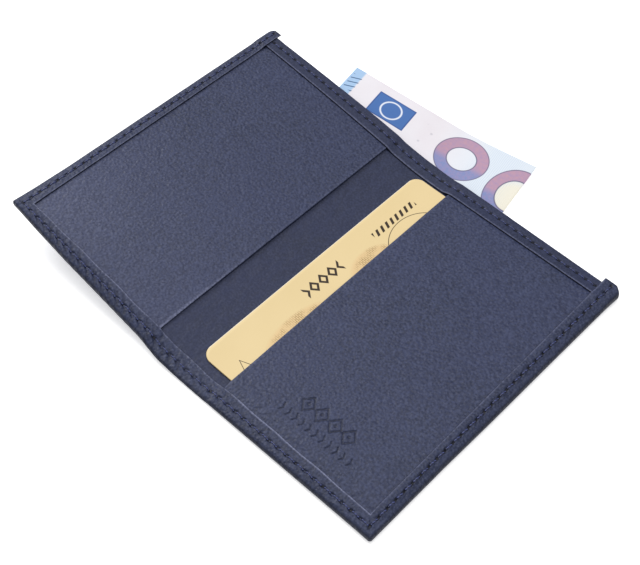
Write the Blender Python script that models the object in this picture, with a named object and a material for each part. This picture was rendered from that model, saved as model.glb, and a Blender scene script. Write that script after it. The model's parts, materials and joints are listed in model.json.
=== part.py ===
"""Bifold leather wallet, lying open, with a payment card and a folded banknote in it.

The wallet is two half panels that meet at one fold line. Each half is a stack of thin leather layers:
the outer cover with its turned-over hem, the lining with its own turned hem on the far edge, a card
pocket, and the threads that hold them. The halves turn about the fold axis, which lies just above the
inner face, so that the closed panels lie face to face. The card slides in its pocket and the banknote
slides in the compartment between cover and lining, and bends with the wallet.

Layout axes, used for every size below: x runs across the wallet from the fold line, y runs along the
fold from the near edge to the far edge, z is the height above the table of a panel that lies flat.
Run with: blender --background --python part.py
"""

import math

import bmesh
import bpy
from mathutils import Matrix, Vector

# Leather thicknesses and the clearance between neighbouring layers, in metres
COVER_THICK = 0.0008
LINING_THICK = 0.0004
POCKET_THICK = 0.0004
FLAP_THICK = 0.0004
TURN_THICK = 0.0005
LAYER_GAP = 0.0001
SIDE_GAP = 0.0001

# Panel outline
PANEL_WIDTH = 0.0674
NEAR_EDGE = -0.0498
LINING_FAR_EDGE = 0.0498
COVER_FAR_EDGE = 0.0510
FOLD_CLEARANCE = 0.00015
EDGE_ROUNDING = 0.0006
EDGE_SEGMENTS = 3

# Hems and pocket mouths
SIDE_HEM = 0.0046
NEAR_HEM = 0.0048
FAR_HEM = 0.0054
POCKET_MOUTH = {"right": 0.0124, "left": 0.0116}

# Payment card, an ISO 7810 ID-1 card
CARD_LENGTH = 0.0856
CARD_WIDTH = 0.05398
CARD_THICK = 0.00076
CARD_CORNER = 0.00318
CARD_NEAR_END = -0.0422
CARD_EDGE_FROM_FOLD = 0.0010

# Banknote, folded once near its middle and pushed in slightly askew
NOTE_WIDTH = 0.0640
NOTE_HEIGHT = 0.0720
NOTE_THICK = 0.00022
NOTE_TURN = math.radians(10.0)
NOTE_TOP_CORNER = (0.0234, 0.0720)

# Threads, each lying in a shallow channel pressed into the leather
THREAD_RADIUS = 0.00017
CHANNEL_HALF_WIDTH = 0.00032
INNER_CHANNEL_DEPTH = 0.00025
OUTER_CHANNEL_DEPTH = 0.0005
SIDE_SEAM_INSET = 0.0025
NEAR_SEAM_INSET = 0.0024
LINING_SEAM_INSET = 0.0026
COVER_SEAM_INSET = 0.0025
SEAM_END = 0.0012

# Fold
REST_TILT = math.radians(9.6)
HINGE_CLEARANCE = 0.0006
OVERCUT = 0.005

# Heights of the layers, from the table up
NOTE_BOTTOM = COVER_THICK + LAYER_GAP
LINING_BOTTOM = NOTE_BOTTOM + NOTE_THICK + LAYER_GAP
LINING_TOP = LINING_BOTTOM + LINING_THICK
CARD_BOTTOM = LINING_TOP + LAYER_GAP
POCKET_BOTTOM = CARD_BOTTOM + CARD_THICK + LAYER_GAP
POCKET_TOP = POCKET_BOTTOM + POCKET_THICK
FLAP_BOTTOM = POCKET_TOP + LAYER_GAP
FLAP_TOP = FLAP_BOTTOM + FLAP_THICK
HINGE_HEIGHT = FLAP_TOP + HINGE_CLEARANCE

# Seam lines
SIDE_SEAM = PANEL_WIDTH - SIDE_SEAM_INSET
NEAR_SEAM = NEAR_EDGE + NEAR_SEAM_INSET
LINING_SEAM = LINING_FAR_EDGE - LINING_SEAM_INSET
COVER_SEAM = COVER_FAR_EDGE - COVER_SEAM_INSET

# The origin is the middle of the open wallet's bounding box, on the table
LEFT_REACH = PANEL_WIDTH * math.cos(REST_TILT) + (HINGE_HEIGHT - EDGE_ROUNDING) * math.sin(REST_TILT)
FOLD_X = (LEFT_REACH - PANEL_WIDTH) / 2
FOLD_Y = -(NEAR_EDGE + NOTE_TOP_CORNER[1]) / 2

SIDES = {"right": 1, "left": -1}

parts = None
cutters = None


def start_scene():
    """Empties the scene and makes the collection of parts and the collection of cutters."""
    global parts, cutters
    for old in list(bpy.data.objects):
        bpy.data.objects.remove(old, do_unlink=True)
    parts = bpy.data.collections.new("bifold_wallet")
    cutters = bpy.data.collections.new("cutters")
    bpy.context.scene.collection.children.link(parts)
    bpy.context.scene.collection.children.link(cutters)


def finish_material(name, colour, roughness, sheen=0.0):
    """A Principled material of one colour, given as linear red, green and blue."""
    material = bpy.data.materials.new(name)
    material.use_nodes = True
    shader = material.node_tree.nodes["Principled BSDF"]
    shader.inputs["Base Color"].default_value = (*colour, 1.0)
    shader.inputs["Roughness"].default_value = roughness
    shader.inputs["Metallic"].default_value = 0.0
    shader.inputs["Sheen Weight"].default_value = sheen
    return material


def make_materials():
    return {
        "cover_leather": finish_material("cover_leather", (0.052, 0.063, 0.112), 0.55),
        "lining_leather": finish_material("lining_leather", (0.046, 0.055, 0.102), 0.60),
        "pocket_leather": finish_material("pocket_leather", (0.060, 0.071, 0.120), 0.50),
        "sewing_thread": finish_material("sewing_thread", (0.030, 0.040, 0.130), 0.70, 0.2),
        "card_plastic": finish_material("card_plastic", (0.830, 0.650, 0.380), 0.30),
        "note_paper": finish_material("note_paper", (0.820, 0.840, 0.880), 0.85),
    }


def pivot_empty(name, location, parent=None, turn=0.0):
    """An empty on a joint's axis, turned about Y by turn, for the pieces that move with it."""
    pivot = bpy.data.objects.new(name, None)
    pivot.empty_display_size = 0.01
    pivot.location = location
    pivot.rotation_euler = (0.0, turn, 0.0)
    pivot.parent = parent
    parts.objects.link(pivot)
    return pivot


def make_pivots():
    """One empty on the fold axis for each half, and one for the two pieces that slide."""
    axis = Vector((FOLD_X, FOLD_Y, HINGE_HEIGHT))
    right = pivot_empty("right_panel_pivot", axis)
    left = pivot_empty("left_panel_pivot", axis, turn=REST_TILT)
    card = pivot_empty("card_slide_pivot", Vector(), parent=right)
    note = pivot_empty("note_slide_pivot", Vector(), parent=right)
    note_left = pivot_empty("note_fold_pivot", Vector(), parent=note, turn=REST_TILT)
    return {"right": right, "left": left, "card": card, "note_right": note, "note_left": note_left}


def mesh_object(name, builder, location, parent, material=None):
    """Links the builder mesh as an object: a part if it has a material, a cutter if not."""
    mesh = bpy.data.meshes.new(name)
    builder.to_mesh(mesh)
    builder.free()
    made = bpy.data.objects.new(name, mesh)
    made.location = location
    made.parent = parent
    if material is None:
        made.hide_render = True
        made.display_type = "WIRE"
        cutters.objects.link(made)
    else:
        mesh.materials.append(material)
        parts.objects.link(made)
    return made


def panel_box(side, x_range, y_range, z_range):
    """Middle and size of a box in a panel's layout, for the half on the given side."""
    sign = SIDES[side]
    xs = sorted(sign * x for x in x_range)
    low = Vector((xs[0], y_range[0], z_range[0] - HINGE_HEIGHT))
    high = Vector((xs[1], y_range[1], z_range[1] - HINGE_HEIGHT))
    return (low + high) / 2, high - low


def box_builder(size):
    builder = bmesh.new()
    bmesh.ops.create_cube(builder, size=1.0, matrix=Matrix.Diagonal((*size, 1.0)))
    return builder


def make_box(name, side, x_range, y_range, z_range, parent, material=None):
    middle, size = panel_box(side, x_range, y_range, z_range)
    return mesh_object(name, box_builder(size), middle, parent, material)


def cut(part, name, side, x_range, y_range, z_range):
    """Cuts a box out of part with an exact Boolean."""
    cutter = make_box(part.name + "_" + name, side, x_range, y_range, z_range, part.parent)
    boolean = part.modifiers.new(name, "BOOLEAN")
    boolean.operation = "DIFFERENCE"
    boolean.solver = "EXACT"
    boolean.object = cutter


def round_turned_edges(builder, size, sign):
    """Rounds the edges of a cover slab where the leather turns over: its side and its near edge."""

    def is_turned(edge):
        middle = (edge.verts[0].co + edge.verts[1].co) / 2
        on_side = math.isclose(middle.x, sign * size.x / 2, abs_tol=1e-6)
        on_near = math.isclose(middle.y, -size.y / 2, abs_tol=1e-6)
        along = edge.verts[0].co - edge.verts[1].co
        if abs(along.z) > 0:
            return on_side and on_near
        return (on_side and abs(along.y) > 0) or (on_near and abs(along.x) > 0)

    turned = [edge for edge in builder.edges if is_turned(edge)]
    bmesh.ops.bevel(
        builder,
        geom=turned,
        offset=EDGE_ROUNDING,
        segments=EDGE_SEGMENTS,
        profile=0.5,
        affect="EDGES",
    )


def make_cover(side, pivot, material):
    """Outer leather of one half, turned over on its side and near edges to make the stitched hem."""
    middle, size = panel_box(
        side, (FOLD_CLEARANCE, PANEL_WIDTH), (NEAR_EDGE, COVER_FAR_EDGE), (0.0, FLAP_TOP)
    )
    builder = box_builder(size)
    round_turned_edges(builder, size, SIDES[side])
    cover = mesh_object("cover_" + side, builder, middle, pivot, material)
    past_far = COVER_FAR_EDGE + OVERCUT
    inside_x = (-OVERCUT, PANEL_WIDTH - TURN_THICK)
    inside_y = (NEAR_EDGE + TURN_THICK, past_far)
    cut(cover, "hollow", side, inside_x, inside_y, (COVER_THICK, FLAP_BOTTOM))
    window_x = (-OVERCUT, PANEL_WIDTH - SIDE_HEM)
    window_y = (NEAR_EDGE + NEAR_HEM, past_far)
    cut(cover, "window", side, window_x, window_y, (COVER_THICK, FLAP_TOP + OVERCUT))
    inner_z = (FLAP_TOP - INNER_CHANNEL_DEPTH, FLAP_TOP + OVERCUT)
    outer_z = (-OVERCUT, OUTER_CHANNEL_DEPTH)
    for face, z_range in (("inner", inner_z), ("outer", outer_z)):
        near_y = (NEAR_SEAM - CHANNEL_HALF_WIDTH, NEAR_SEAM + CHANNEL_HALF_WIDTH)
        side_x = (SIDE_SEAM - CHANNEL_HALF_WIDTH, SIDE_SEAM + CHANNEL_HALF_WIDTH)
        side_y = (near_y[0], COVER_FAR_EDGE - SEAM_END + CHANNEL_HALF_WIDTH)
        cut(cover, face + "_near_channel", side, (-OVERCUT, side_x[1]), near_y, z_range)
        cut(cover, face + "_side_channel", side, side_x, side_y, z_range)
    seam_y = (COVER_SEAM - CHANNEL_HALF_WIDTH, COVER_SEAM + CHANNEL_HALF_WIDTH)
    seam_x = (-OVERCUT, SIDE_SEAM - 2 * CHANNEL_HALF_WIDTH)
    cut(cover, "far_channel", side, seam_x, seam_y, outer_z)
    return cover


def make_lining(side, pivot, material):
    """Lining of one half: a flat sheet with its far edge turned over the pocket as a stitched hem."""
    edge_x = PANEL_WIDTH - TURN_THICK - SIDE_GAP
    near_y = NEAR_EDGE + TURN_THICK + SIDE_GAP
    past_near = near_y - OVERCUT
    lining = make_box(
        "lining_" + side,
        side,
        (FOLD_CLEARANCE, edge_x),
        (near_y, LINING_FAR_EDGE),
        (LINING_BOTTOM, FLAP_TOP),
        pivot,
        material,
    )
    every_x = (-OVERCUT, edge_x + OVERCUT)
    every_y = (past_near, LINING_FAR_EDGE + OVERCUT)
    above = FLAP_TOP + OVERCUT
    hollow_y = (past_near, LINING_FAR_EDGE - TURN_THICK)
    cut(lining, "hollow", side, every_x, hollow_y, (LINING_TOP, FLAP_BOTTOM))
    window_y = (past_near, LINING_FAR_EDGE - FAR_HEM)
    cut(lining, "window", side, every_x, window_y, (LINING_TOP, above))
    under_hem_x = (PANEL_WIDTH - SIDE_HEM - SIDE_GAP, edge_x + OVERCUT)
    cut(lining, "side_relief", side, under_hem_x, every_y, (LINING_TOP, above))
    channel_y = (LINING_SEAM - CHANNEL_HALF_WIDTH, LINING_SEAM + CHANNEL_HALF_WIDTH)
    cut(lining, "channel", side, every_x, channel_y, (FLAP_TOP - INNER_CHANNEL_DEPTH, above))
    return lining


def make_pocket(side, pivot, material):
    """Card pocket of one half: a panel open towards the fold and held under the hems elsewhere."""
    return make_box(
        "pocket_" + side,
        side,
        (POCKET_MOUTH[side], PANEL_WIDTH - TURN_THICK - 2 * SIDE_GAP),
        (NEAR_EDGE + TURN_THICK + 2 * SIDE_GAP, LINING_FAR_EDGE - TURN_THICK - SIDE_GAP),
        (POCKET_BOTTOM, POCKET_TOP),
        pivot,
        material,
    )


def make_thread(name, route, height, pivot, material):
    """A sewing thread along a route of (x, y) points at one height above the table."""
    curve = bpy.data.curves.new(name, "CURVE")
    curve.dimensions = "3D"
    curve.bevel_depth = THREAD_RADIUS
    curve.bevel_resolution = 2
    curve.use_fill_caps = True
    spline = curve.splines.new("POLY")
    spline.points.add(len(route) - 1)
    for point, (x, y) in zip(spline.points, route):
        point.co = (x, y, height - HINGE_HEIGHT, 1.0)
    curve.materials.append(material)
    thread = bpy.data.objects.new(name, curve)
    thread.parent = pivot
    parts.objects.link(thread)
    return thread


def make_threads(side, pivot, material):
    """The four seams of one half: hem seam inside and outside, lining seam, and cover far seam."""
    sign = SIDES[side]
    start = sign * (FOLD_CLEARANCE + SEAM_END / 4)
    corner = sign * SIDE_SEAM
    seam_far = COVER_FAR_EDGE - SEAM_END
    hem_route = [(start, NEAR_SEAM), (corner, NEAR_SEAM), (corner, seam_far)]
    lining_end = sign * (PANEL_WIDTH - SIDE_HEM - SIDE_GAP - SEAM_END / 2)
    lining_route = [(start, LINING_SEAM), (lining_end, LINING_SEAM)]
    cover_end = sign * (SIDE_SEAM - SEAM_END)
    cover_route = [(start, COVER_SEAM), (cover_end, COVER_SEAM)]
    inner_height = FLAP_TOP - INNER_CHANNEL_DEPTH + LAYER_GAP + THREAD_RADIUS
    outer_height = OUTER_CHANNEL_DEPTH - LAYER_GAP - THREAD_RADIUS
    make_thread("hem_thread_inner_" + side, hem_route, inner_height, pivot, material)
    make_thread("hem_thread_outer_" + side, hem_route, outer_height, pivot, material)
    make_thread("lining_thread_" + side, lining_route, inner_height, pivot, material)
    make_thread("cover_far_thread_" + side, cover_route, outer_height, pivot, material)


def make_card(pivot, material):
    """Plastic card with rounded corners, standing out of the right pocket towards the fold."""
    middle, size = panel_box(
        "right",
        (CARD_EDGE_FROM_FOLD, CARD_EDGE_FROM_FOLD + CARD_WIDTH),
        (CARD_NEAR_END, CARD_NEAR_END + CARD_LENGTH),
        (CARD_BOTTOM, CARD_BOTTOM + CARD_THICK),
    )
    builder = box_builder(size)
    corners = [e for e in builder.edges if abs(e.verts[0].co.z - e.verts[1].co.z) > size.z / 2]
    bmesh.ops.bevel(
        builder, geom=corners, offset=CARD_CORNER, segments=6, profile=0.5, affect="EDGES"
    )
    return mesh_object("payment_card", builder, middle, pivot, material)


def make_note_half(side, pivot, material):
    """The part of the folded banknote that lies on one side of the fold line."""
    turned = Matrix.Rotation(NOTE_TURN, 4, "Z")
    top_corner = Vector((*NOTE_TOP_CORNER, 0.0))
    from_corner = turned @ Vector((-NOTE_WIDTH / 2, -NOTE_HEIGHT / 2, 0.0))
    builder = box_builder(Vector((NOTE_WIDTH, NOTE_HEIGHT, NOTE_THICK)))
    bmesh.ops.transform(builder, matrix=turned, verts=builder.verts)
    bmesh.ops.translate(builder, vec=top_corner + from_corner, verts=builder.verts)
    sign = SIDES[side]
    geometry = builder.verts[:] + builder.edges[:] + builder.faces[:]
    sliced = bmesh.ops.bisect_plane(
        builder,
        geom=geometry,
        plane_co=(sign * FOLD_CLEARANCE, 0.0, 0.0),
        plane_no=(-sign, 0.0, 0.0),
        clear_outer=True,
    )
    rim = [item for item in sliced["geom_cut"] if isinstance(item, bmesh.types.BMEdge)]
    bmesh.ops.contextual_create(builder, geom=rim)
    bmesh.ops.recalc_face_normals(builder, faces=builder.faces)
    height = NOTE_BOTTOM + NOTE_THICK / 2 - HINGE_HEIGHT
    return mesh_object("banknote_" + side, builder, Vector((0.0, 0.0, height)), pivot, material)


def build_wallet():
    start_scene()
    materials = make_materials()
    pivots = make_pivots()
    for side in SIDES:
        make_cover(side, pivots[side], materials["cover_leather"])
        make_lining(side, pivots[side], materials["lining_leather"])
        make_pocket(side, pivots[side], materials["pocket_leather"])
        make_threads(side, pivots[side], materials["sewing_thread"])
        make_note_half(side, pivots["note_" + side], materials["note_paper"])
    make_card(pivots["card"], materials["card_plastic"])


build_wallet()
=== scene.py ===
"""The looks of an open bifold wallet, with a card and a banknote in it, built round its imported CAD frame.

Shapes are worked out in millimetres on a flat layout: s across the fold, y along it, and h up through the
layers. place() lays that layout on the table, bends the left half up and gives metres in the row frame.
"""
import json
import math

import bmesh
import bpy
import numpy as np
from mathutils import Matrix, Vector


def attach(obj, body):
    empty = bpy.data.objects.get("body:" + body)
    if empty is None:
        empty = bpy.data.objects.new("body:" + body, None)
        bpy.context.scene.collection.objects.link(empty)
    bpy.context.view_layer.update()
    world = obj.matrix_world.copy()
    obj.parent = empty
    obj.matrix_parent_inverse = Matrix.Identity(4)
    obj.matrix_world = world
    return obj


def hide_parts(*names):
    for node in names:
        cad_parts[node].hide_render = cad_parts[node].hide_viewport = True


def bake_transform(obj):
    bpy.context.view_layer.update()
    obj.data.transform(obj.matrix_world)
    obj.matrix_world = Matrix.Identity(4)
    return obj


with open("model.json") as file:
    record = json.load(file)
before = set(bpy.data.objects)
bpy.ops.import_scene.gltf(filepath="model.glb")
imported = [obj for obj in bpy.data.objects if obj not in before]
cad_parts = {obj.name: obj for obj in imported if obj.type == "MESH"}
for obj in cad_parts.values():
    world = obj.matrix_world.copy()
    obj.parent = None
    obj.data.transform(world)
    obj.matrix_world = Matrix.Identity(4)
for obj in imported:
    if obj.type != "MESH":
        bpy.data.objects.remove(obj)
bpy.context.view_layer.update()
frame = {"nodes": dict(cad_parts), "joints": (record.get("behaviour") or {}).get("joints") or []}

MM = 0.001


def joint_named(name):
    return next(joint for joint in frame["joints"] if joint["name"] == name)


# The fold, from the frame.
FOLD = joint_named("wallet_fold")
HINGE = np.array(FOLD["pos_m"]) / MM
TILT = -math.radians(FOLD["range_deg"][0])


def layout_box(node):
    """Lowest and highest (s, y, h) of a CAD node in mm, with a left-hand node turned back flat."""
    points = np.array([v.co for v in frame["nodes"][node].data.vertices]) / MM - HINGE
    if node.endswith("left"):
        x, z = points[:, 0].copy(), points[:, 2].copy()
        points[:, 0] = x * math.cos(TILT) - z * math.sin(TILT)
        points[:, 2] = x * math.sin(TILT) + z * math.cos(TILT)
    points[:, 2] += HINGE[2]
    return points.min(0), points.max(0)


COVER_LOW, COVER_HIGH = layout_box("cover_right")
CARD_LOW, CARD_HIGH = layout_box("payment_card")
CARD_TRAVEL = -joint_named("card_slide")["range_m"][0] / MM
HALF = COVER_HIGH[0]
NEAR = COVER_LOW[1]
COVER_FAR = COVER_HIGH[1]
LINING_FAR = layout_box("lining_right")[1][1]
RIGHT_MOUTH = layout_box("pocket_right")[0][0]
LEFT_MOUTH = layout_box("pocket_left")[1][0]

# Hems and layers, in mm. The edges are pressed thinner than the middle of the panels.
SIDE_HEM = 4.6
NEAR_HEM = 4.8
FAR_HEM = 5.4
COVER_THICK = 0.62
LINING_BOTTOM = 1.2
LINING_TOP = 1.58
POCKET_THICK = 0.36
FLAP_THICK = 0.44
STRIP_THICK = 0.42
LAYER_GAP = 0.02
STACK = 2.6

# How far the inner pieces' hidden edges lie inside the cover's edge, and the far one inside the lining's.
LINING_INSET = 1.3
POCKET_INSET = 1.4
POCKET_FAR_INSET = 1.0

# How far the pocket's underside stands above the lining: at rest, over the card, and where it is slack.
POCKET_REST = 0.28
CARD_SWELL = 0.82
SLACK_SWELL = 0.20

# The turned edges: how far in the turn reaches and how thick the leather is there, for cover and lining;
# the radius of the cover's near corners; and the bevel at its hem's far ends.
EDGE_REACH = 1.15
EDGE_WALL = 0.6
STRIP_REACH = 0.75
STRIP_WALL = 0.4
CORNER_RADIUS = 0.9
STUB_CHAMFER = 1.7
STUB_RUN = 3.2

# How much lower the hem is at its turned edge and along its seam, and the flaps at their cut edges.
HEM_CROWN = 0.26
SEAM_GROOVE = 0.08
HEM_LIP = 0.14
STRIP_LIP = 0.13
MOUTH_LIP = 0.10

# The seams: distance of each from its edge, the machine's stitch length, and the dents it leaves.
STITCH = 3.05
SIDE_SEAM = 2.5
NEAR_SEAM = 2.4
STRIP_SEAM = 2.6
COVER_SEAM = 2.5
HOLE_HALF_LENGTH = 0.95
HOLE_HALF_WIDTH = 0.42
HOLE_DEPTH = 0.40
HOLE_SLANT = math.radians(12)
OUTSIDE_GROOVE = 0.24

# How the sheet lies: the bend's half-width, how far the fold's near end dips and its far end stands up at
# TWIST_SPAN from the middle, how wide the fold's ridge is rounded, and the left half's slight bow.
BEND_REACH = 12.0
TWIST_NEAR = 0.8
TWIST_FAR = 0.4
TWIST_SPAN = 50.0
RIDGE = 4.0
LEFT_BOW = 0.6

# How far each hem's edge strays outwards from its straight line: places along the edge, and mm at each.
NEAR_DRIFT = ((-67, -58, -44, -14, -6, 10, 62), (-1.0, -0.45, 0.15, 0.62, 1.35, 1.05, 0.12))
RIGHT_DRIFT = ((-50, -23, -5, 20, 43, 51), (-0.2, 0.0, 0.4, 0.7, 1.05, 1.5))
LEFT_DRIFT = ((-50, -40, -30, 51), (0.7, 0.2, -0.1, -0.5))
FAR_DRIFT = ((-60, -45, -22, 2, 14, 30, 60), (-0.1, 0.25, 0.8, 1.05, 0.8, 0.65, 0.2))


def smooth(value, low=0.0, high=1.0):
    """0 below low, 1 above high, and an S curve between them."""
    t = np.clip((np.asarray(value, float) - low) / (high - low), 0, 1)
    return t * t * (3 - 2 * t)


def bend_curve():
    """Length, x, z and slope of the line at the hinge's height: flat on the right, tilted on the left."""
    s = np.arange(-80.0, 80.001, 0.25)
    turn = TILT * (1 - smooth(s, -BEND_REACH, BEND_REACH))
    middle = (turn[1:] + turn[:-1]) / 2
    x = np.concatenate([[0], np.cumsum(np.cos(middle) * np.diff(s))])
    z = -np.concatenate([[0], np.cumsum(np.sin(middle) * np.diff(s))])
    x += BEND_REACH - np.interp(BEND_REACH, s, x)
    z -= z[-1]
    return s, x, z, turn


BEND_S, BEND_X, BEND_Z, BEND_TURN = bend_curve()


def place(points, lifted=1.0):
    """Row-frame metres of layout points (s, y, h) in mm.

    lifted is the share of the fold's rise that a piece follows.
    """
    s, y, h = np.asarray(points, float).reshape(-1, 3).T
    flat_s, flat_y = s, y
    s = s + np.clip((flat_s - HALF + SIDE_HEM) / SIDE_HEM, 0, 1) * np.interp(flat_y, *RIGHT_DRIFT)
    s = s - np.clip((-flat_s - HALF + SIDE_HEM) / SIDE_HEM, 0, 1) * np.interp(flat_y, *LEFT_DRIFT)
    y = y - np.clip((NEAR + NEAR_HEM - flat_y) / NEAR_HEM, 0, 1) * np.interp(flat_s, *NEAR_DRIFT)
    y = y + np.clip((flat_y - LINING_FAR + FAR_HEM) / FAR_HEM, 0, 1) * np.interp(flat_s, *FAR_DRIFT)
    fade = np.clip(1 - np.sqrt(s * s + RIDGE**2) / HALF, 0, 1)
    lift = np.where(y > 0, TWIST_FAR, TWIST_NEAR) * y / TWIST_SPAN * fade
    left = np.clip(-s / HALF, 0, 1)
    lift = lift * lifted + LEFT_BOW * 4 * left * (1 - left)
    h = h + np.where(lift > 0, lift, lift * h / STACK)
    turn = np.interp(s, BEND_S, BEND_TURN)
    rise = h - HINGE[2]
    x = HINGE[0] + np.interp(s, BEND_S, BEND_X) + rise * np.sin(turn)
    z = HINGE[2] + np.interp(s, BEND_S, BEND_Z) + rise * np.cos(turn)
    return np.stack([x, HINGE[1] + y, z], -1) * MM


# ------------------------------------------------------------------------------------------------ layers


def waves(s, y, size, turn=0.0):
    """A gentle unevenness between about -1 and 1, size mm from crest to crest."""
    k = 2 * math.pi / size
    a = s * math.cos(turn) + y * math.sin(turn)
    b = y * math.cos(turn) - s * math.sin(turn)
    return (
        np.sin(k * a + 1.3 * np.sin(k * 0.61 * b + 0.7))
        + np.sin(k * 0.77 * b + 1.9 + 1.1 * np.sin(k * 0.53 * a))
    ) / 2


def pocket_swell(s, y):
    """How far the pocket's underside stands above the lining: over the card, and a little on the left."""
    reach = CARD_HIGH[0] + CARD_TRAVEL
    over_card = (1 - smooth(s, reach, reach + 2.4)) * smooth(y, NEAR + 4.2, CARD_LOW[1] + 0.3)
    over_card = over_card * (1 - smooth(y, CARD_HIGH[1] + 0.2, LINING_FAR - 3))
    slack = (1 - smooth(-s, 30, 62)) * smooth(y, NEAR + 4, NEAR + 20) * (1 - smooth(y, 28, 46))
    return POCKET_REST + np.where(s > 0, (CARD_SWELL - POCKET_REST) * over_card, SLACK_SWELL * slack)


def pocket_under(s, y):
    return LINING_TOP + LAYER_GAP + pocket_swell(s, y)


def inside_top(s, y):
    """Top of the lining and pockets together, which is what the flaps are laid over."""
    mouth = np.where(s > 0, RIGHT_MOUTH, -LEFT_MOUTH)
    covered = smooth(np.abs(s), mouth - 3.0, mouth + 1.0)
    return LINING_TOP + covered * (pocket_under(s, y) + POCKET_THICK - LINING_TOP)


def puckers(s, y):
    """Small creases across the near hem and the lining where the leather is gathered at the fold."""
    near_fold = np.exp(-((s + 3) / 13.0) ** 2) * (1 - smooth(y, NEAR + 3, NEAR + 24))
    far_fold = np.exp(-((s - 2) / 8.0) ** 2) * smooth(y, 30, 46)
    return near_fold * waves(s, y, 2.3, 0.5) + 0.5 * far_fold * waves(s, y, 2.6, -0.4)


def strip_top(s, y):
    """Top of the lining's turned strip along the far edge."""
    return inside_top(s, y) + 2.5 * LAYER_GAP + STRIP_THICK + 0.03 * waves(s, y, 7)


def gather(s, y):
    """How far the near hem rises between stitches and dips at them, most of all left of the fold."""
    ridge = -np.cos(2 * math.pi * ((s + SEAM_S) / NEAR_PITCH + 0.45 * (y - NEAR - NEAR_SEAM)))
    drawn = (0.04 + 0.17 * np.exp(-((s + 30) / 36.0) ** 2)) * (1 - smooth(y, NEAR + 2.8, NEAR + 4.4))
    return drawn * ridge * (1 - smooth(np.abs(s), 60, 64))


def hem_top(s, y):
    """Top of the cover's turned hem along the near edge and both sides."""
    over_strip = (LAYER_GAP + STRIP_THICK) * smooth(y, LINING_FAR - FAR_HEM - 3.0, LINING_FAR - FAR_HEM)
    top = inside_top(s, y) + LAYER_GAP + FLAP_THICK + over_strip
    return top + 0.14 * puckers(s, y) + gather(s, y) + 0.03 * waves(s, y, 9)


# ------------------------------------------------------------------------------------------------ seams


def outside_groove(s, y):
    """Height of the cover's outer face where a seam has drawn it in."""
    return np.full(np.shape(s), OUTSIDE_GROOVE)


def seam_holes(corners):
    """Needle holes (s, y, angle) about a stitch apart along a route of straight legs, corners included."""
    holes = []
    for index, (a, b) in enumerate(zip(corners[:-1], corners[1:])):
        a, b = np.array(a, float), np.array(b, float)
        length = float(np.linalg.norm(b - a))
        along = (b - a) / length
        last = index == len(corners) - 2
        count = max(1, round(length / STITCH))
        pitch = length / count
        for i in range(count + (1 if last else 0)):
            point = a + along * (i * pitch)
            holes.append((point[0], point[1], math.atan2(along[1], along[0])))
    return holes


SEAM_S = HALF - SIDE_SEAM
NEAR_PITCH = 2 * SEAM_S / round(2 * SEAM_S / STITCH)
HEM_END = COVER_FAR - 1.4
HEM_ROUTE = [
    (-SEAM_S, HEM_END),
    (-SEAM_S, NEAR + NEAR_SEAM),
    (SEAM_S, NEAR + NEAR_SEAM),
    (SEAM_S, HEM_END),
]
STRIP_END = HALF - SIDE_HEM - 0.8
STRIP_LINE = LINING_FAR - STRIP_SEAM
COVER_END = SEAM_S - 2.4
COVER_LINE = COVER_FAR - COVER_SEAM
HEM_HOLES = seam_holes(HEM_ROUTE)
STRIP_HOLES = seam_holes([(-STRIP_END, STRIP_LINE), (STRIP_END, STRIP_LINE)])
COVER_HOLES = seam_holes([(-COVER_END, COVER_LINE), (COVER_END, COVER_LINE)])


def pits(s, y, holes):
    """0 to 1: how deep each point lies in the nearest needle hole, an oval a little aslant to the seam."""
    flat_s, flat_y = s.ravel(), y.ravel()
    found = np.zeros(len(flat_s))
    for hole_s, hole_y, angle in holes:
        close = np.nonzero((np.abs(flat_s - hole_s) < 1.2) & (np.abs(flat_y - hole_y) < 1.2))[0]
        ds, dy = flat_s[close] - hole_s, flat_y[close] - hole_y
        turn = angle + HOLE_SLANT
        along = (ds * math.cos(turn) + dy * math.sin(turn)) / HOLE_HALF_LENGTH
        across = (dy * math.cos(turn) - ds * math.sin(turn)) / HOLE_HALF_WIDTH
        depth = 1 - smooth(np.hypot(along, across), 0.35, 1.25)
        found[close] = np.maximum(found[close], depth)
    return found.reshape(s.shape)


# ------------------------------------------------------------------------------------------------ meshes


def finish_mesh(name, mesh, material, sharp=35.0):
    """Merges doubles, turns faces outwards, smooths, and makes the piece's object."""
    work = bmesh.new()
    work.from_mesh(mesh)
    bmesh.ops.remove_doubles(work, verts=work.verts, dist=0.002 * MM)
    bmesh.ops.dissolve_degenerate(work, edges=work.edges, dist=0.002 * MM)
    bmesh.ops.recalc_face_normals(work, faces=work.faces)
    work.to_mesh(mesh)
    work.free()
    mesh.shade_smooth()
    mesh.set_sharp_from_angle(angle=math.radians(sharp))
    mesh.materials.append(material)
    piece = bpy.data.objects.new(name, mesh)
    bpy.context.scene.collection.objects.link(piece)
    return piece


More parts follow.
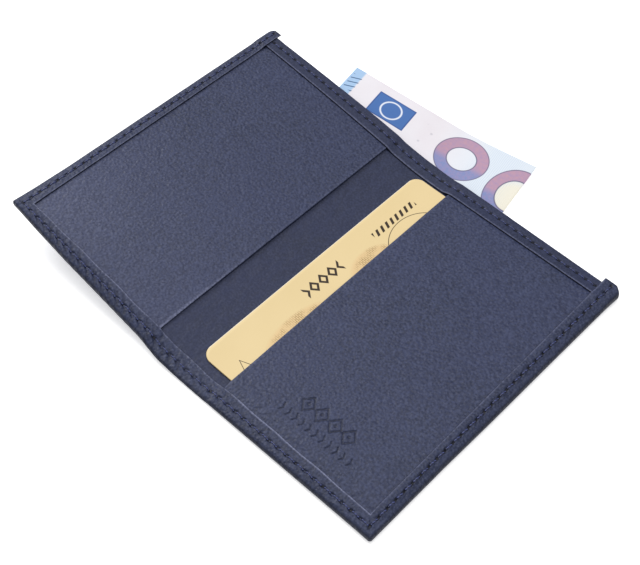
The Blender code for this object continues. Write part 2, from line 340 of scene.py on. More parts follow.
def closed_sheet(name, outer, inner, faces, material, marks=None, printed=None, sharp=35.0, lifted=1.0):
    """A sheet with two skins of the same layout, outer and inner, and a wall round every open edge.

    marks maps an attribute's name to a value for each outer point; printed gives each one's (a, b) in mm.
    """
    count = len(outer)
    # Points that lie in one place become one before the open edges are looked for.
    pairs = np.round(np.column_stack([outer, inner]), 4)
    _, first, same = np.unique(pairs, axis=0, return_index=True, return_inverse=True)
    joined = first[same.ravel()].tolist()
    front = []
    for face in faces:
        loop = [joined[v] for v in face]
        loop = [v for i, v in enumerate(loop) if v != loop[i - 1]]
        if len(loop) > 2:
            front.append(loop)
    # A dictionary keeps the edges in the order in which they are met.
    edges = {edge: True for face in front for edge in zip(face, face[1:] + face[:1])}
    walls = [(b, a, a + count, b + count) for (a, b) in edges if (b, a) not in edges]
    back = [[v + count for v in reversed(face)] for face in front]
    points = place(np.concatenate([outer, inner]), lifted)
    mesh = bpy.data.meshes.new(name)
    mesh.from_pydata(points.tolist(), [], front + back + walls)
    for key, values in (marks or {}).items():
        layer = mesh.attributes.new(key, "FLOAT", "POINT")
        layer.data.foreach_set("value", np.tile(values, 2).astype(np.float32))
    if printed is not None:
        flat = np.zeros((2 * count, 3), np.float32)
        flat[:count, :2] = printed
        flat[count:, :2] = printed
        flat[count:, 2] = 1
        mesh.attributes.new("printed", "FLOAT_VECTOR", "POINT").data.foreach_set("vector", flat.ravel())
    return finish_mesh(name, mesh, material, sharp)


def grid_faces(columns, rows):
    """Quads of a grid whose points run row by row."""
    return [
        [j * columns + i, j * columns + i + 1, (j + 1) * columns + i + 1, (j + 1) * columns + i]
        for j in range(rows - 1)
        for i in range(columns - 1)
    ]


def spaced(low, high, step):
    """Evenly spaced values from low to high, about a step apart."""
    return np.linspace(low, high, max(2, int(round((high - low) / step)) + 1))


# Distances from the edge, in mm, of a section's points under a hem and on top of it, and the step between
# one section and the next.
UNDER_STEPS = (3.9, 3.3, 2.9, 2.6, 2.3, 2.0, 1.7, 1.4)
HEM_STEPS = (1.4, 1.65, 1.9, 2.1, 2.3, 2.5, 2.7, 2.9, 3.1, 3.4, 3.8, 4.3, 4.68, NEAR_HEM)
STRIP_STEPS = (1.0, 1.5, 1.8, 2.05, 2.25, 2.45, 2.65, 2.85, 3.05, 3.3, 3.7, 4.2, 4.8, 5.26, FAR_HEM)
FINE_STEP = 0.38


def turned_section(hem, top_steps, edge_reach, wall):
    """Cross-section of a sheet turned over its edge, from under the hem, round it, to the flap's cut edge.

    Each point of the outer and inner skin has its distance from the edge, its height as a share of the
    hem's top, and how many thicknesses of the sheet are added to that.
    """
    outer = [(d, 0.0, 0.0) for d in (hem, *UNDER_STEPS)]
    inner = [(d, 0.0, 1.0) for d in (hem, *UNDER_STEPS)]
    for angle in np.radians(np.linspace(0, 180, 9)):
        share = (1 - math.cos(angle)) / 2
        outer.append((edge_reach * (1 - math.sin(angle)), share, 0.0))
        inner.append((edge_reach - (edge_reach - wall) * math.sin(angle), share, 1.0 - share))
    for d in top_steps:
        outer.append((d, 1.0, 0.0))
        inner.append((d, 1.0, 0.0))
    return np.array(outer), np.array(inner)


def thin_lines(values, keep_close, close_step, far_step):
    """Indices of the fine lines that a coarse grid keeps: closer together near the fold than elsewhere."""
    kept = {0, len(values) - 1, *range(0, len(values), far_step)}
    kept.update(i for i, v in enumerate(values) if abs(v) < keep_close and i % close_step == 0)
    return sorted(kept)


def edge_station(kind, t, d):
    """Where a section's points, d mm in from the edge, lie at t along that edge or round that corner."""
    side = d * SIDE_HEM / NEAR_HEM
    if kind == "near":
        return np.clip(t, -HALF + side, HALF - side), NEAR + d
    sign = -1.0 if kind in ("left", "left corner") else 1.0
    if kind in ("left", "right"):
        chamfer = smooth(t, COVER_FAR - STUB_RUN, COVER_FAR) * np.clip(STUB_CHAMFER - side, 0, None)
        return sign * (HALF - side), np.maximum(t - chamfer, NEAR + d)
    reach = np.clip(CORNER_RADIUS - d, 0, None)
    beyond = np.clip(d - CORNER_RADIUS, 0, None)
    centre = CORNER_RADIUS + beyond
    s = sign * (HALF - centre * SIDE_HEM / NEAR_HEM + reach * math.cos(t))
    return s, NEAR + centre - reach * math.sin(t)


def hem_stations(rows, columns):
    """Where the hem's cross-sections stand, from its far left end round to its far right end.

    Also gives the numbers of the sections at the first of columns, and at the first of rows on the right.
    """
    low_rows = spaced(NEAR + CORNER_RADIUS, NEAR + NEAR_HEM, FINE_STEP)[:-1]
    corner = spaced(-HALF + CORNER_RADIUS, -HALF + SIDE_HEM, FINE_STEP)[:-1]
    fan = np.radians(np.linspace(0, 90, 6))[1:-1]
    stations = [("left", y) for y in rows[::-1]] + [("left", y) for y in low_rows[::-1]]
    stations += [("left corner", a) for a in fan]
    near_start = len(stations) + len(corner)
    stations += [("near", s) for s in corner] + [("near", s) for s in columns]
    stations += [("near", -s) for s in corner[::-1]]
    stations += [("right corner", a) for a in fan[::-1]]
    right_start = len(stations) + len(low_rows)
    stations += [("right", y) for y in low_rows] + [("right", y) for y in rows]
    return stations, near_start, right_start


def hem_skins(stations, outer_rule, inner_rule):
    """The hem's outer and inner skin, and how deep each outer point lies in a needle hole."""
    steps = len(outer_rule)
    outer, inner = [], []
    for kind, t in stations:
        for rule, skin in ((outer_rule, outer), (inner_rule, inner)):
            s, y = edge_station(kind, t, rule[:, 0])
            skin.append(np.column_stack(np.broadcast_arrays(s, y, np.zeros(steps))))
    outer, inner = np.array(outer), np.array(inner)
    # The near flap was cut by hand: its inner edge wanders a little.
    for skin in (outer, inner):
        s, y = skin[..., 0], skin[..., 1]
        loose = smooth(outer_rule[:, 0] - 3.2, 0, 1.4) * (outer_rule[:, 1] > 0.99)
        wander = 0.16 * waves(s, 0 * s, 15) * (1 - smooth(np.abs(s), 54, 61))
        skin[..., 1] += loose * wander * (y < NEAR + NEAR_HEM + 0.1)
    top_outer, top_inner = (hem_top(skin[..., 0], skin[..., 1]) for skin in (outer, inner))
    from_edge = outer_rule[:, 0]
    groove = 1 - smooth(np.abs(from_edge - NEAR_SEAM - 0.05), 0.2, 1.15)
    top_outer = top_outer - HEM_CROWN * (1 - smooth(from_edge, 0.9, 2.5)) - SEAM_GROOVE * groove
    pit_and_painted_shade = pits(outer[..., 0], outer[..., 1], HEM_HOLES)
    upper = outer_rule[:, 1] > 0.99
    lower = outer_rule[:, 1] < 0.01
    lip = np.where(np.arange(steps) == steps - 1, -HEM_LIP, 0.0)
    outer[..., 2] = outer_rule[:, 1] * top_outer + lip
    outer[..., 2] += pit_and_painted_shade * HOLE_DEPTH * np.where(lower, 0.5, np.where(upper, -1.0, 0.0))
    outer[..., 2] += OUTSIDE_GROOVE * groove * lower
    inner[..., 2] = inner_rule[:, 2] * COVER_THICK + inner_rule[:, 1] * (top_inner - FLAP_THICK)
    # A fine slanting line in each near corner, where one flap is folded over the other.
    mitre = np.abs((HALF - np.abs(outer[..., 0])) * NEAR_HEM / SIDE_HEM - (outer[..., 1] - NEAR))
    folded = np.exp(-((mitre / 0.25) ** 2)) * upper * (outer[..., 1] < NEAR + NEAR_HEM + 0.5)
    outer[..., 2] -= 0.10 * folded
    # The hem's two far ends are cut, and a little pinched.
    for end in (0, -1):
        outer[end] = outer[end] * 0.75 + inner[end] * 0.25
    return outer, inner, pit_and_painted_shade


def hem_marks(outer, pit_and_painted_shade, rule):
    """How dark and how pale the hem's leather is at each outer point, with painted shade in needle holes,
    gathers and under the flap's cut edge, and a painted highlight along that edge.
    """
    upper = rule[:, 1] > 0.99
    lower = rule[:, 1] < 0.01
    # A highlight is painted pale along the flap's cut edge, most of all along the near edge on the right.
    bright = smooth(np.abs(outer[:, -1, 0]), 13, 19) * np.where(outer[:, -1, 0] > 0, 1.0, 0.55)
    bright = bright * (outer[:, -1, 1] < NEAR + NEAR_HEM + 0.4)
    wear_and_highlight = np.zeros(pit_and_painted_shade.shape)
    wear_and_highlight[:, -2] = 0.35
    wear_and_highlight[:, -2] += 0.65 * bright
    # Painted shade in the needle holes, and under the flap's cut edge except where the highlight is.
    dark = pit_and_painted_shade * (upper | lower)
    dark[:, -1] = 1 - bright
    # Painted shade in the valleys of the gathers.
    dark = np.maximum(dark, np.clip(-2.2 * gather(outer[..., 0], outer[..., 1]), 0, 0.5) * upper)
    # Darker round the turn of the leather at the edge, and at the hem's cut ends.
    dark += 0.70 * smooth(rule[:, 1], 0.02, 0.2) * (1 - smooth(rule[:, 1], 0.84, 1.04))
    for end in (0, 1, -2, -1):
        dark[end] = np.maximum(dark[end], 0.45)
    return np.clip(dark, 0, 1), wear_and_highlight


def cover_flat(rows, columns, stations, near_start, right_start, steps):
    """The cover's flat part between the hems: its own points (s, y), and its faces.

    It is a coarse grid whose border cells take in every hem point beside them.
    """
    row_lines = thin_lines(rows, -1, 1, 9)
    row_lines = sorted({*row_lines, *(j for j, y in enumerate(rows) if abs(y - COVER_LINE) < 1.5)})
    column_lines = thin_lines(columns, 9, 2, 9)
    points, known = [], {}

    def grid_point(i, j):
        """Index of the point on column i and row j of the fine lines."""
        if i == 0:
            return (len(rows) - 1 - j) * steps
        if i == len(columns) - 1:
            return (right_start + j) * steps
        if j == 0:
            return (near_start + i) * steps
        if (i, j) not in known:
            known[(i, j)] = stations * steps + len(points)
            points.append((columns[i], rows[j]))
        return known[(i, j)]

    faces = []
    for j0, j1 in zip(row_lines[:-1], row_lines[1:]):
        for i0, i1 in zip(column_lines[:-1], column_lines[1:]):
            low = range(i0, i1 + 1) if j0 == 0 else (i0, i1)
            right = range(j0 + 1, j1) if i1 == len(columns) - 1 else ()
            left = range(j1 - 1, j0, -1) if i0 == 0 else ()
            loop = [grid_point(i, j0) for i in low] + [grid_point(i1, j) for j in right]
            loop += [grid_point(i1, j1), grid_point(i0, j1)] + [grid_point(i0, j) for j in left]
            faces.append(loop)
    return np.array(points), faces


def make_cover(material):
    """The outer leather: one piece, its left, near and right edges turned over as a stitched hem."""
    outer_rule, inner_rule = turned_section(NEAR_HEM, HEM_STEPS, EDGE_REACH, EDGE_WALL)
    steps = len(outer_rule)
    rows = spaced(NEAR + NEAR_HEM, COVER_FAR, FINE_STEP)
    columns = spaced(-HALF + SIDE_HEM, HALF - SIDE_HEM, FINE_STEP)
    stations, near_start, right_start = hem_stations(rows, columns)
    outer, inner, pit_and_painted_shade = hem_skins(stations, outer_rule, inner_rule)
    dark, wear_and_highlight = hem_marks(outer, pit_and_painted_shade, outer_rule)
    flat, flat_faces = cover_flat(rows, columns, len(stations), near_start, right_start, steps)
    # The cover's far edge is a cut edge, pared thin.
    pared = flat[:, 1] > COVER_FAR - 0.01
    under = np.where(pared, 0.25, 0.0)
    under = under + OUTSIDE_GROOVE * (1 - smooth(np.abs(flat[:, 1] - COVER_LINE), 0.2, 1.15))
    over = np.where(pared, COVER_THICK - 0.2, COVER_THICK)
    all_outer = np.concatenate([outer.reshape(-1, 3), np.column_stack([flat, under])])
    all_inner = np.concatenate([inner.reshape(-1, 3), np.column_stack([flat, over])])
    faces = grid_faces(steps, len(stations)) + flat_faces
    plain = np.zeros(len(flat))
    marks = {"pit_and_painted_shade": np.concatenate([dark.ravel(), plain]), "wear_and_highlight": np.concatenate([wear_and_highlight.ravel(), plain])}
    return closed_sheet("cover_shell", all_outer, all_inner, faces, material, marks)


def lining_flat(rows, columns, steps):
    """The lining's flat part: its own points (s, y), and its faces, whose last row meets the strip."""
    column_lines = thin_lines(columns, 15.5, 1, 10)
    points, known = [], {}

    def grid_point(i, j):
        if j == len(rows) - 1:
            return i * steps
        if (i, j) not in known:
            known[(i, j)] = len(columns) * steps + len(points)
            points.append((columns[i], rows[j]))
        return known[(i, j)]

    faces = []
    for j in range(len(rows) - 1):
        for i0, i1 in zip(column_lines[:-1], column_lines[1:]):
            high = range(i1, i0 - 1, -1) if j + 1 == len(rows) - 1 else (i1, i0)
            loop = [grid_point(i0, j), grid_point(i1, j)] + [grid_point(i, j + 1) for i in high]
            faces.append(loop[::-1])
    return np.array(points), faces


def make_lining(material):
    """The inner leather: one piece, its far edge turned over the pockets as a stitched strip."""
    outer_rule, inner_rule = turned_section(FAR_HEM, STRIP_STEPS, STRIP_REACH, STRIP_WALL)
    steps = len(outer_rule)
    columns = spaced(-HALF + LINING_INSET, HALF - LINING_INSET, FINE_STEP)
    outer = np.zeros((len(columns), steps, 3))
    inner = np.zeros_like(outer)
    for skin, rule in ((outer, outer_rule), (inner, inner_rule)):
        skin[..., 0] = columns[:, None]
        skin[..., 1] = LINING_FAR - rule[:, 0]
    top = strip_top(outer[..., 0], outer[..., 1]) - LINING_BOTTOM
    pit_and_painted_shade = pits(outer[..., 0], outer[..., 1], STRIP_HOLES)
    upper = outer_rule[:, 1] > 0.99
    lip = np.where(np.arange(steps) == steps - 1, -STRIP_LIP, 0.0)
    outer[..., 2] = LINING_BOTTOM + outer_rule[:, 1] * top + lip - pit_and_painted_shade * HOLE_DEPTH * upper
    thick = LINING_TOP - LINING_BOTTOM
    inner[..., 2] = LINING_BOTTOM + inner_rule[:, 2] * thick + inner_rule[:, 1] * (top - STRIP_THICK)
    rows = spaced(NEAR + LINING_INSET, LINING_FAR - FAR_HEM, 0.6)
    flat, flat_faces = lining_flat(rows, columns, steps)
    # Only the open part between the pockets is creased.
    creases = 0.09 * puckers(flat[:, 0], flat[:, 1]) + 0.05 * waves(flat[:, 0], flat[:, 1], 6, 0.3)
    open_part = 1 - smooth(np.abs(flat[:, 0]), 9.5, 12.0)
    under = np.column_stack([flat, LINING_BOTTOM + 0.8 * creases * open_part])
    over = np.column_stack([flat, LINING_TOP + creases * open_part])
    # The section's outer skin runs on as the sheet's underside, and its inner skin as the upper side.
    all_outer = np.concatenate([outer.reshape(-1, 3), under])
    all_inner = np.concatenate([inner.reshape(-1, 3), over])
    faces = grid_faces(steps, len(columns)) + flat_faces
    # A highlight is painted pale along the strip's cut edge, with painted shade in the needle holes and just
    # under that edge.
    wear_and_highlight = np.zeros(pit_and_painted_shade.shape)
    wear_and_highlight[:, -2] = 0.45
    dark = pit_and_painted_shade * upper
    dark[:, -1] = 1.0
    plain = np.zeros(len(flat))
    marks = {"pit_and_painted_shade": np.concatenate([dark.ravel(), plain]), "wear_and_highlight": np.concatenate([wear_and_highlight.ravel(), plain])}
    return closed_sheet("lining_shell", all_outer, all_inner, faces, material, marks)


# The stamp on the right pocket: a row of lozenges over a row of chevrons, in mm on the layout. STAMP_DEPTH
# is how far it is pressed in, and STAMP_SHADE how much of a needle hole's painted shade it has.
STAMP_DEPTH = 0.22
STAMP_SHADE = 0.50
LOZENGES = dict(start=29.3, pitch=4.6, count=4, y=-33.6, half_length=2.0, half_height=2.4, line=0.24)
CHEVRONS = dict(start=27.6, pitch=2.3, count=11, y=-38.6, half_height=1.25, slope=0.55, line=0.20)


def stamp(s, y):
    """0 to 1: how deep the blind-stamped ornament is pressed at each point."""
    pressed = np.zeros(len(s))
    for i in range(LOZENGES["count"]):
        ds = np.abs(s - LOZENGES["start"] - (i + 0.5) * LOZENGES["pitch"])
        dy = np.abs(y - LOZENGES["y"])
        size = ds / LOZENGES["half_length"] + dy / LOZENGES["half_height"]
        ring = np.abs(size - 1) * LOZENGES["half_length"] * 0.75
        dot = np.hypot(ds, dy)
        pressed = np.maximum(pressed, 1 - smooth(ring, LOZENGES["line"] * 0.6, LOZENGES["line"] * 1.5))
        pressed = np.maximum(pressed, 1 - smooth(dot, 0.32, 0.62))
    for i in range(CHEVRONS["count"]):
        tip = CHEVRONS["start"] + i * CHEVRONS["pitch"]
        dy = np.abs(y - CHEVRONS["y"])
        stroke = np.abs(s - tip + CHEVRONS["slope"] * dy)
        inside = 1 - smooth(dy, CHEVRONS["half_height"] - 0.1, CHEVRONS["half_height"] + 0.15)
        line = 1 - smooth(stroke, CHEVRONS["line"] * 0.6, CHEVRONS["line"] * 1.6)
        pressed = np.maximum(pressed, inside * line)
    return pressed


def graded(low, high, coarse, fine_low, fine_high, fine):
    """Lines from low to high, coarse apart, and fine apart from fine_low to fine_high."""
    before = spaced(low, fine_low, coarse)[:-1]
    close = spaced(fine_low, fine_high, fine)[:-1]
    return np.concatenate([before, close, spaced(fine_high, high, coarse)])


def make_pocket(side, material):
    """A leather pocket panel, sewn in on three sides, its mouth a cut edge towards the fold."""
    y_low, y_high = NEAR + POCKET_INSET, LINING_FAR - POCKET_FAR_INSET
    if side == "right":
        s_lines = graded(RIGHT_MOUTH, HALF - POCKET_INSET, 1.0, 26.4, 53.4, 0.19)
        s_lines = np.concatenate([s_lines[:1], [RIGHT_MOUTH + 0.12, RIGHT_MOUTH + 0.4], s_lines[1:]])
        y_lines = graded(y_low, y_high, 1.0, -40.6, -30.6, 0.19)
    else:
        s_lines = spaced(-HALF + POCKET_INSET, LEFT_MOUTH, 0.9)
        s_lines = np.concatenate([s_lines[:-1], [LEFT_MOUTH - 0.4, LEFT_MOUTH - 0.12], s_lines[-1:]])
        y_lines = spaced(y_low, y_high, 0.9)
    s, y = [v.ravel() for v in np.meshgrid(s_lines, y_lines)]
    under = pocket_under(s, y)
    relief = 0.05 * waves(s, y, 19, 0.4) + 0.015 * waves(s, y, 5.5, 1.1)
    inward = smooth(np.minimum(HALF - np.abs(s) - SIDE_HEM, y - NEAR - NEAR_HEM), 0.0, 3.0)
    inward = inward * smooth(LINING_FAR - FAR_HEM - y, 0.0, 3.0)
    top = under + POCKET_THICK + relief * inward
    to_mouth = (s - RIGHT_MOUTH) if side == "right" else (LEFT_MOUTH - s)
    top = top - MOUTH_LIP * (1 - smooth(to_mouth, 0.0, 0.14))
    pressed = stamp(s, y) if side == "right" else np.zeros(len(s))
    top = top - STAMP_DEPTH * pressed
    # The mouths have rubbed pale. The left pocket is also painted paler towards its near end and near
    # corner, as painted sheen.
    pale_share = 0.10 + 0.5 * (1 - smooth(y, -45, -5)) if side == "left" else 0.10
    wear_and_highlight = pale_share * (1 - smooth(to_mouth, 0.25, 0.6))
    if side == "left":
        wear_and_highlight = wear_and_highlight + 0.06 * smooth(-y, -12, 42) + 0.07 * np.exp(-((s + 58) ** 2 + (y + 43) ** 2) / 15**2)
    marks = {"pit_and_painted_shade": STAMP_SHADE * pressed, "wear_and_highlight": wear_and_highlight}
    outer, inner = np.column_stack([s, y, top]), np.column_stack([s, y, under])
    faces = grid_faces(len(s_lines), len(y_lines))
    return closed_sheet("pocket_panel_" + side, outer, inner, faces, material, marks)


# A standard card's corner radius, and how far the edge of each of its faces is rounded off, in mm.
CARD_CORNER = 3.18
CARD_RIM = 0.10


def make_card(material):
    """The card: a laminated plastic plate with rounded corners and a fine rounded rim."""
    radius, rim = CARD_CORNER, CARD_RIM
    length = CARD_HIGH[1] - CARD_LOW[1]
    ends = radius * (1 - np.cos(np.radians(np.linspace(0, 90, 12))))
    y_lines = np.concatenate([ends, spaced(radius, length - radius, 2.5)[1:-1], length - ends[::-1]])
    across = np.array([0.0, 0.0017, 0.02, *np.linspace(0.06, 0.94, 18), 0.98, 0.9983, 1.0])
    dy = np.clip(radius - np.minimum(y_lines, length - y_lines), 0, radius)
    inset = radius - np.sqrt(radius * radius - dy * dy)
    s = CARD_LOW[0] + inset[:, None] + across * (CARD_HIGH[0] - CARD_LOW[0] - 2 * inset[:, None])
    y = np.repeat(CARD_LOW[1] + y_lines[:, None], len(across), 1)
    s, y = s.ravel(), y.ravel()
    border = np.tile((across < 0.001) | (across > 0.999), len(y_lines))
    border |= (y < CARD_LOW[1] + 0.001) | (y > CARD_HIGH[1] - 0.001)
    top = np.where(border, CARD_HIGH[2] - rim, CARD_HIGH[2])
    bottom = np.where(border, CARD_LOW[2] + rim, CARD_LOW[2])
    outer, inner = np.column_stack([s, y, top]), np.column_stack([s, y, bottom])
    faces = grid_faces(len(across), len(y_lines))
    printed = np.column_stack([s, y])
    return closed_sheet("card_plate", outer, inner, faces, material, printed=printed, sharp=50.0)


# The banknote: turned 10 degrees on the layout and folded once. From its far right corner a runs along its
# width, negative to the left, and b along its length, negative towards the wallet's near edge.
NOTE_TURN = math.radians(10)
NOTE_WIDTH = 64.0
NOTE_LENGTH = 72.0
NOTE_PAPER = 0.10
NOTE_CORNER = (23.4, 72.0)
NOTE_REST = COVER_THICK + 0.03

# How far the crease's roll reaches in and how far the lower leaf lies out of line, in mm, and the share of
# the fold's rise that the note follows.
NOTE_CREASE = 0.5
NOTE_SHIFT = 0.35
NOTE_LIFTED = 0.5


def make_note(material):
    """The banknote: one sheet of paper folded in two, with a rolled crease at its right end."""
    leaf = graded(-NOTE_WIDTH + 0.4, -NOTE_CREASE, 1.6, -46.0, -14.0, 0.7)
    angle = np.radians(np.linspace(90, -90, 7))[1:-1]
    b_lines = -spaced(0, NOTE_LENGTH, 1.5)
    upper, lower = NOTE_REST + 1.6 * NOTE_PAPER, NOTE_REST + NOTE_PAPER / 2
    middle, half = (upper + lower) / 2, (upper - lower) / 2
    flat = np.ones(len(leaf))
    a_path = np.concatenate([leaf, NOTE_CREASE * (np.cos(angle) - 1), leaf[::-1]])
    h_path = np.concatenate([upper * flat, middle + half * np.sin(angle), lower * flat])
    run = np.concatenate([[0], np.cumsum(np.hypot(np.diff(a_path), np.diff(h_path)))]) - NOTE_WIDTH
    a, b = [v.ravel() for v in np.meshgrid(a_path, b_lines)]
    h = np.tile(h_path, len(b_lines))
    # The lower leaf lies a little out of line with the upper one.
    below = np.tile(np.arange(len(a_path)) >= len(leaf) + 3, len(b_lines))
    shift = np.where(below, NOTE_SHIFT, 0.0)
    c, n = math.cos(NOTE_TURN), math.sin(NOTE_TURN)
    s = NOTE_CORNER[0] + a * c - (b - shift) * n
    y = NOTE_CORNER[1] + a * n + (b - shift) * c
    # Past the wallet's edge the paper is free, and lies a little lower and in soft waves.
    free = smooth(y, COVER_FAR + 1, COVER_FAR + 14)
    h = h + free * (0.15 * waves(s, y, 31, 0.2) - 0.15)
    thick = NOTE_PAPER * 0.9 / 2
    side = np.tile(np.concatenate([flat, np.sin(angle), -flat]), len(b_lines))
    out = np.tile(np.concatenate([0 * flat, np.cos(angle), 0 * flat]), len(b_lines))
    outer = np.column_stack([s + out * thick * c, y + out * thick * n, h + side * thick])
    inner = np.column_stack([s - out * thick * c, y - out * thick * n, h - side * thick])
    faces = grid_faces(len(a_path), len(b_lines))
    printed = np.column_stack([np.tile(run, len(b_lines)), b])
    return closed_sheet(
        "folded_note", outer, inner, faces, material, printed=printed, sharp=60.0, lifted=NOTE_LIFTED
    )


# ------------------------------------------------------------------------------------------------ materials


def colour(code):
    """Linear RGBA of an sRGB hex colour."""
    parts = [int(code[i : i + 2], 16) / 255 for i in (0, 2, 4)]
    return tuple(p / 12.92 if p <= 0.04045 else ((p + 0.055) / 1.055) ** 2.4 for p in parts) + (1.0,)


def add(tree, kind, sockets=None, output=0, **settings):
    """Adds a node and gives its output.

    settings are the node's own properties; sockets gives each input a value, or an output that feeds it.
    """
    node = tree.nodes.new(kind)
    for key, value in settings.items():
        setattr(node, key, value)
    for key, value in (sockets or {}).items():
        if isinstance(value, bpy.types.NodeSocket):
            tree.links.new(value, node.inputs[key])
        else:
            node.inputs[key].default_value = value
    return node.outputs[output]


def new_material(name):
    """An empty material with its Principled shader, and the tree to add to."""
    material = bpy.data.materials.new(name)
    material.use_nodes = True
    tree = material.node_tree
    shader = next(n for n in tree.nodes if n.type == "BSDF_PRINCIPLED")
    return material, tree, shader


# Settings of a node that goes from one colour, in socket 6, to another, in 7, as socket 0 goes from 0 to 1.
BLENDED = {"output": 2, "data_type": "RGBA"}


def between(tree, value, low, high, soft):
    """1 where value lies between low and high, with edges soft wide."""
    rise = add(tree, "ShaderNodeMapRange", {"Value": value, 1: low - soft, 2: low + soft})
    fall = add(tree, "ShaderNodeMapRange", {"Value": value, 1: high - soft, 2: high + soft, 3: 1.0, 4: 0.0})
    return add(tree, "ShaderNodeMath", {0: rise, 1: fall}, operation="MULTIPLY")


def in_box(tree, a, b, low, high, soft=0.08):
    """1 inside a rectangle of the printed face, in mm."""
    in_a = between(tree, a, low[0], high[0], soft)
    in_b = between(tree, b, low[1], high[1], soft)
    return add(tree, "ShaderNodeMath", {0: in_a, 1: in_b}, operation="MULTIPLY")


def oval_size(tree, point, centre, radii):
    """Distance from the centre of an oval, 1 on the oval itself."""
    moved = add(tree, "ShaderNodeVectorMath", {0: point, 1: (*centre, 0)}, operation="SUBTRACT")
    shares = (1 / radii[0], 1 / radii[1], 0)
    scaled = add(tree, "ShaderNodeVectorMath", {0: moved, 1: shares}, operation="MULTIPLY")
    return add(tree, "ShaderNodeVectorMath", {0: scaled}, output=1, operation="LENGTH")


def in_oval(tree, point, centre, radii, core):
    """1 in the core of an oval, a share of its size, fading to 0 at its edge."""
    size = oval_size(tree, point, centre, radii)
    return add(tree, "ShaderNodeMapRange", {"Value": size, 1: core, 2: 1.0, 3: 1.0, 4: 0.0})


# Pale for leather that has rubbed and for painted highlights; dark for painted shade in dents, needle holes,
# gathers and under cut edges, and for the darker turned edges.
PALE_WEAR_AND_HIGHLIGHT = "8A8FAE"
SHADED = "070A18"


def grained_leather(name, base, deep, light, rough, grain_mm, grain_depth):
    """Drum-dyed leather: satin, finely pebbled, uneven in tone, paler where rubbed and where a highlight is
    painted, with painted shade where pressed in.

    base and deep are its cloudy tones, light the tone of its fibres and specks. grain_mm is the width of a
    pebble and grain_depth its height, both in mm.
    """
    material, tree, shader = new_material(name)
    spot = add(tree, "ShaderNodeTexCoord", output=3)
    pit_and_painted_shade = add(tree, "ShaderNodeAttribute", output=2, attribute_name="pit_and_painted_shade")
    wear_and_highlight = add(tree, "ShaderNodeAttribute", output=2, attribute_name="wear_and_highlight")
    # Clouds of dye 22 mm across. Fibres and pores are about 0.3 mm, and drawn coarser so that they show.
    cloud = add(tree, "ShaderNodeTexNoise", {"Vector": spot, "Scale": 1 / (22 * MM), "Detail": 3.0})
    drawn_out = {"Vector": spot, "Rotation": (0, 0, 0.9), "Scale": (1.0, 0.35, 1.0)}
    streaks = add(tree, "ShaderNodeMapping", drawn_out)
    fibre = add(tree, "ShaderNodeTexNoise", {"Vector": streaks, "Scale": 1 / (1.1 * MM), "Detail": 2.0})
    speck = add(tree, "ShaderNodeTexNoise", {"Vector": spot, "Scale": 1 / (0.62 * MM), "Detail": 3.0})
    cloud_share = add(tree, "ShaderNodeMapRange", {"Value": cloud, 1: 0.32, 2: 0.68})
    tone = add(tree, "ShaderNodeMix", {0: cloud_share, 6: colour(base), 7: colour(deep)}, **BLENDED)
    fibre_share = add(tree, "ShaderNodeMapRange", {"Value": fibre, 1: 0.42, 2: 0.75, 4: 0.35})
    tone = add(tree, "ShaderNodeMix", {0: fibre_share, 6: tone, 7: colour(light)}, **BLENDED)
    speck_share = add(tree, "ShaderNodeMapRange", {"Value": speck, 1: 0.42, 2: 0.66, 4: 0.66})
    tone = add(tree, "ShaderNodeMix", {0: speck_share, 6: tone, 7: colour(light)}, **BLENDED)
    spotted = add(tree, "ShaderNodeMapRange", {"Value": speck, 1: 0.35, 2: 0.62})
    spotted = add(tree, "ShaderNodeMapRange", {"Value": spotted, 3: 0.45, 4: 1.0})
    # Pale where rubbed and where highlights are painted, then painted shade in holes, dents, gathers and
    # under cut edges.
    pale_share = add(tree, "ShaderNodeMath", {0: wear_and_highlight, 1: spotted}, operation="MULTIPLY", use_clamp=True)
    tone = add(tree, "ShaderNodeMix", {0: pale_share, 6: tone, 7: colour(PALE_WEAR_AND_HIGHLIGHT)}, **BLENDED)
    tone = add(tree, "ShaderNodeMix", {0: pit_and_painted_shade, 6: tone, 7: colour(SHADED)}, **BLENDED)
    tree.links.new(tone, shader.inputs["Base Color"])
    pebbles = {"Vector": spot, "Scale": 1 / (grain_mm * MM)}
    cells = add(tree, "ShaderNodeTexVoronoi", pebbles, feature="SMOOTH_F1")
    uneven = {"Value": fibre, 1: 0.3, 2: 0.7, 3: rough - 0.07, 4: rough + 0.07}
    tree.links.new(add(tree, "ShaderNodeMapRange", uneven), shader.inputs["Roughness"])
    pebbled = {"Height": cells, "Strength": 1.0, "Distance": grain_depth * MM}
    grain = add(tree, "ShaderNodeBump", pebbled, invert=True)
    fibrous = {"Height": fibre, "Strength": 1.0, "Distance": 0.10 * MM, "Normal": grain}
    tree.links.new(add(tree, "ShaderNodeBump", fibrous), shader.inputs["Normal"])
    shader.inputs["IOR"].default_value = 1.45
    shader.inputs["Specular IOR Level"].default_value = 0.4
    return material


